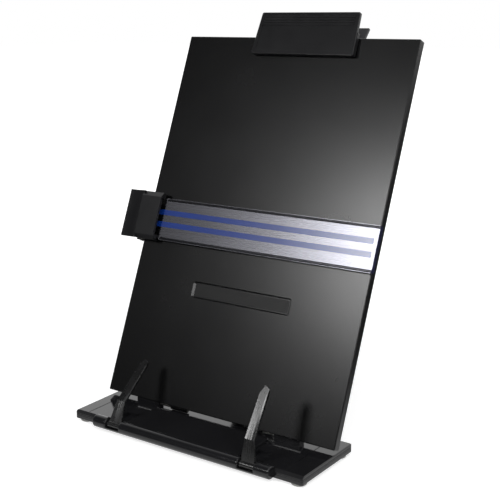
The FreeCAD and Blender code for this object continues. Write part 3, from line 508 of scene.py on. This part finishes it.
label = {"half": 43.2, "low": 86.0, "high": 95.5, "floor": 1.6, "thickness": 0.12, "corner": 0.8,
         "cornerSegments": 5, "smoothAngle": 30}


def addLabel():
    # Blank label film on the floor of the board's recess
    makeActive(None)
    middle = (label["low"] + label["high"]) / 2
    bpy.ops.mesh.primitive_plane_add(
        size=1.0, location=(0, label["floor"] * mm, middle * mm), rotation=(math.radians(90), 0, 0))
    film = bpy.context.object
    film.name = "blankLabel"
    film.scale = (2 * label["half"] * mm, (label["high"] - label["low"]) * mm, 1.0)
    applyPlace(film)
    bpy.ops.object.mode_set(mode="EDIT")
    bpy.ops.mesh.select_all(action="SELECT")
    bpy.ops.mesh.bevel(offset=label["corner"] * mm, affect="VERTICES",
                       segments=label["cornerSegments"])
    bpy.ops.mesh.extrude_region_move(
        TRANSFORM_OT_translate={"value": (0.0, -label["thickness"] * mm, 0.0)})
    bpy.ops.mesh.select_all(action="SELECT")
    bpy.ops.mesh.normals_make_consistent(inside=False)
    makeActive(film)
    leanAndPlace(film, boardPlace["lean"], Vector(boardPlace["foot"]) * mm)
    dress(film, "board", [labelFilm], label["smoothAngle"])


addLabel()
print("label modelled")


meshJoin = {"merge": 0.005, "flatWithin": 0.8}


def copyNode(nodeName, name):
    # A CAD node's mesh as a new piece, its triangles merged into whole faces
    mesh = frame["nodes"][nodeName].data.copy()
    piece = bpy.data.objects.new(name, mesh)
    scene.collection.objects.link(piece)
    makeActive(piece)
    bpy.ops.object.mode_set(mode="EDIT")
    bpy.ops.mesh.select_all(action="SELECT")
    bpy.ops.mesh.remove_doubles(threshold=meshJoin["merge"] * mm)
    bpy.ops.mesh.dissolve_limited(angle_limit=math.radians(meshJoin["flatWithin"]))
    bpy.ops.object.mode_set(mode="OBJECT")
    return piece


# Low, high and bead are rises up the board
ruler = {"endFrom": 114.3, "endFacing": 0.5, "low": 124.3, "high": 158.5, "bead": 2.5,
         "smoothAngle": 30}


def addRuler():
    # Silvered face between two beads whose darker colour is painted shade, with a navy end wall
    piece = copyNode("ruler", "rulerBlade")
    dress(piece, "line_guide", [silverFilm, paintedShadeBeadFilm, navyPvc],
          ruler["smoothAngle"], ["ruler"])
    silver, bead, navy = range(3)
    lean = math.radians(boardPlace["lean"])
    foot = Vector(boardPlace["foot"])
    for face in piece.data.polygons:
        x, y, z = face.center / mm
        rise = (y - foot.y) * math.sin(lean) + (z - foot.z) * math.cos(lean)
        onBead = rise < ruler["low"] + ruler["bead"] or rise > ruler["high"] - ruler["bead"]
        onEnd = x > ruler["endFrom"] and face.normal.x > ruler["endFacing"]
        # the bead slot takes the film with the painted shade
        face.material_index = navy if onEnd else bead if onBead else silver


addRuler()
print("ruler modelled")


ledge = {"sharpFrom": 50, "shortest": 2.0, "round": 0.4, "segments": 3, "smoothAngle": 32}


def addLedge():
    # The CAD ledge with its long sharp edges rounded, as a mould leaves them
    piece = copyNode("page_ledge", "pageLedge")
    bpy.ops.object.mode_set(mode="EDIT")
    bpy.ops.mesh.select_mode(type="EDGE")
    bpy.ops.mesh.select_all(action="DESELECT")
    bpy.ops.mesh.edges_select_sharp(sharpness=math.radians(ledge["sharpFrom"]))
    bpy.ops.object.mode_set(mode="OBJECT")
    corners = piece.data.vertices
    for edge in piece.data.edges:
        first, last = edge.vertices
        isLong = (corners[first].co - corners[last].co).length > ledge["shortest"] * mm
        edge.select = edge.select and isLong
    bpy.ops.object.mode_set(mode="EDIT")
    bpy.ops.mesh.bevel(offset=ledge["round"] * mm, segments=ledge["segments"], affect="EDGES",
                       clamp_overlap=True)
    dress(piece, "base", [glossAbs], ledge["smoothAngle"], ["page_ledge"])


addLedge()
print("page ledge modelled")


# Camera, where the photograph was taken from; fitted to the board's corners
view = {"place": (446.35, -618.5, 312.4), "turn": 35.53, "down": 13.5, "roll": -0.576,
        "lens": 73.62, "sensor": 36.0, "nearest": 10.0}


def addCamera():
    data = bpy.data.cameras.new("photoCamera")
    data.lens = view["lens"]
    data.sensor_width = view["sensor"]
    data.clip_start = view["nearest"] * mm
    camera = bpy.data.objects.new("photoCamera", data)
    scene.collection.objects.link(camera)
    aim = Euler((math.radians(90 - view["down"]), 0.0, math.radians(view["turn"]))).to_matrix()
    rolled = aim @ Matrix.Rotation(math.radians(view["roll"]), 3, "Z")
    camera.matrix_world = Matrix.Translation(Vector(view["place"]) * mm) @ rolled.to_4x4()
    scene.camera = camera


# Softboxes: turn is from straight ahead towards the left of the photo, rise is above the table,
# and away and size are in metres
lamps = (
    {"name": "keyBox", "turn": -22.5, "rise": 28.9, "away": 1.4, "size": 0.28, "watts": 5.0},
    {"name": "highRightBox", "turn": 50, "rise": 55, "away": 1.4, "size": 0.7, "watts": 4.0},
    {"name": "rightBox", "turn": 58, "rise": 20, "away": 1.4, "size": 0.35, "watts": 3.4},
    {"name": "backBox", "turn": -150, "rise": 50, "away": 1.4, "size": 0.8, "watts": 1.5},
)
lampAim = (0.0, 0.0, 0.12)


def addSoftbox(name, turn, rise, away, size, watts):
    data = bpy.data.lights.new(name, "AREA")
    data.shape = "RECTANGLE"
    data.size = size
    data.size_y = size
    data.energy = watts
    lamp = bpy.data.objects.new(name, data)
    side, up = math.radians(turn), math.radians(rise)
    reach = Vector((math.sin(side) * math.cos(up), -math.cos(side) * math.cos(up), math.sin(up)))
    lamp.location = Vector(lampAim) + reach * away
    lamp.rotation_euler = (-reach).to_track_quat("-Z", "Y").to_euler()
    scene.collection.objects.link(lamp)


# Table, in metres. The glow is what the camera sees; the mirror values are what gloss sees, from
# the object's own rectangle out to a multiple of it
floor = {"size": 12.0, "colour": 0.8, "nearGlow": 0.64, "farGlow": 1.0, "nearRadius": 0.3,
         "farRadius": 0.9, "nearMirror": 0.78, "farMirror": 0.08, "mirrorFrom": 1.1, "mirrorTo": 1.7,
         "halfWide": 0.1155, "halfDeep": 0.1007}


def addFloor():
    # Pale table that brightens to white away from the object, and that gloss sees light close
    # to the object and dark further out
    makeActive(None)
    bpy.ops.mesh.primitive_plane_add(size=floor["size"], location=(0, 0, 0))
    table = bpy.context.object
    table.name = "floor"
    material = newMaterial("paleFloor")
    path = addNode(material, "ShaderNodeLightPath").outputs
    place = addNode(material, "ShaderNodeTexCoord").outputs["Object"]
    far = addNode(material, "ShaderNodeVectorMath", {"operation": "LENGTH"},
                  links={0: place}).outputs["Value"]
    white = addNode(material, "ShaderNodeMapRange",
                    inputs=span(floor["nearRadius"], floor["farRadius"],
                                floor["nearGlow"], floor["farGlow"]),
                    links={"Value": far})
    glow = addNode(material, "ShaderNodeMath", {"operation": "MULTIPLY"},
                   links={0: path["Is Camera Ray"], 1: white})
    pale = floor["colour"]
    diffuse = addNode(material, "ShaderNodeBsdfDiffuse", inputs={"Color": (pale, pale, pale, 1)})
    light = addNode(material, "ShaderNodeEmission", links={"Strength": glow})
    lit = addNode(material, "ShaderNodeAddShader", links={0: diffuse, 1: light})
    reach = addNode(material, "ShaderNodeVectorMath", {"operation": "DIVIDE"},
                    {1: (floor["halfWide"], floor["halfDeep"], 1.0)}, {0: place})
    folded = addNode(material, "ShaderNodeVectorMath", {"operation": "ABSOLUTE"}, links={0: reach})
    split = addNode(material, "ShaderNodeSeparateXYZ", links={0: folded})
    outside = addNode(material, "ShaderNodeMath", {"operation": "MAXIMUM"},
                      links={0: split.outputs["X"], 1: split.outputs["Y"]})
    shine = addNode(material, "ShaderNodeMapRange",
                    inputs=span(floor["mirrorFrom"], floor["mirrorTo"],
                                floor["nearMirror"], floor["farMirror"]),
                    links={"Value": outside})
    mirrored = addNode(material, "ShaderNodeEmission", links={"Strength": shine})
    both = addNode(material, "ShaderNodeMixShader",
                   links={0: path["Is Glossy Ray"], 1: lit, 2: mirrored})
    addNode(material, "ShaderNodeOutputMaterial", links={"Surface": both})
    table.data.materials.append(material)


# Room: front and back are along Y of the direction looked in, and the fade is along its Z
studio = {"fill": 0.34, "frontGloss": 0.04, "backGloss": 1.2, "frontFrom": -0.15, "backFrom": 0.35,
          "fadeFrom": 0.45, "fadeTo": 1.0, "topShare": 0.25}


def addWorld():
    # White sweep behind the object and a dark room in front, as a gloss black surface shows them
    world = bpy.data.worlds.new("studio")
    world.use_nodes = True
    world.node_tree.nodes.clear()
    scene.world = world
    path = addNode(world, "ShaderNodeLightPath").outputs
    towards = addNode(world, "ShaderNodeTexCoord").outputs["Generated"]
    split = addNode(world, "ShaderNodeSeparateXYZ", links={0: towards})
    depth = addNode(world, "ShaderNodeMapRange",
                    inputs=span(studio["frontFrom"], studio["backFrom"],
                                studio["frontGloss"], studio["backGloss"]),
                    links={"Value": split.outputs["Y"]})
    fade = addNode(world, "ShaderNodeMapRange",
                   inputs=span(studio["fadeFrom"], studio["fadeTo"], 1.0, studio["topShare"]),
                   links={"Value": split.outputs["Z"]})
    sweep = addNode(world, "ShaderNodeMath", {"operation": "MULTIPLY"}, links={0: depth, 1: fade})
    mirror = addNode(world, "ShaderNodeMath", {"operation": "MAXIMUM"},
                     links={0: path["Is Glossy Ray"], 1: path["Is Transmission Ray"]})
    strength = addNode(world, "ShaderNodeMix", inputs={2: studio["fill"]},
                       links={0: mirror, 3: sweep})
    seen = addNode(world, "ShaderNodeMix", inputs={3: 1.0},
                   links={0: path["Is Camera Ray"], 2: strength})
    light = addNode(world, "ShaderNodeBackground", inputs={"Color": (1.0, 1.0, 1.0, 1.0)},
                    links={"Strength": seen})
    addNode(world, "ShaderNodeOutputWorld", links={"Surface": light})


addCamera()
addFloor()
addWorld()
for lamp in lamps:
    addSoftbox(**lamp)
scene.view_settings.view_transform = "Standard"
print("camera, floor and lamps placed")
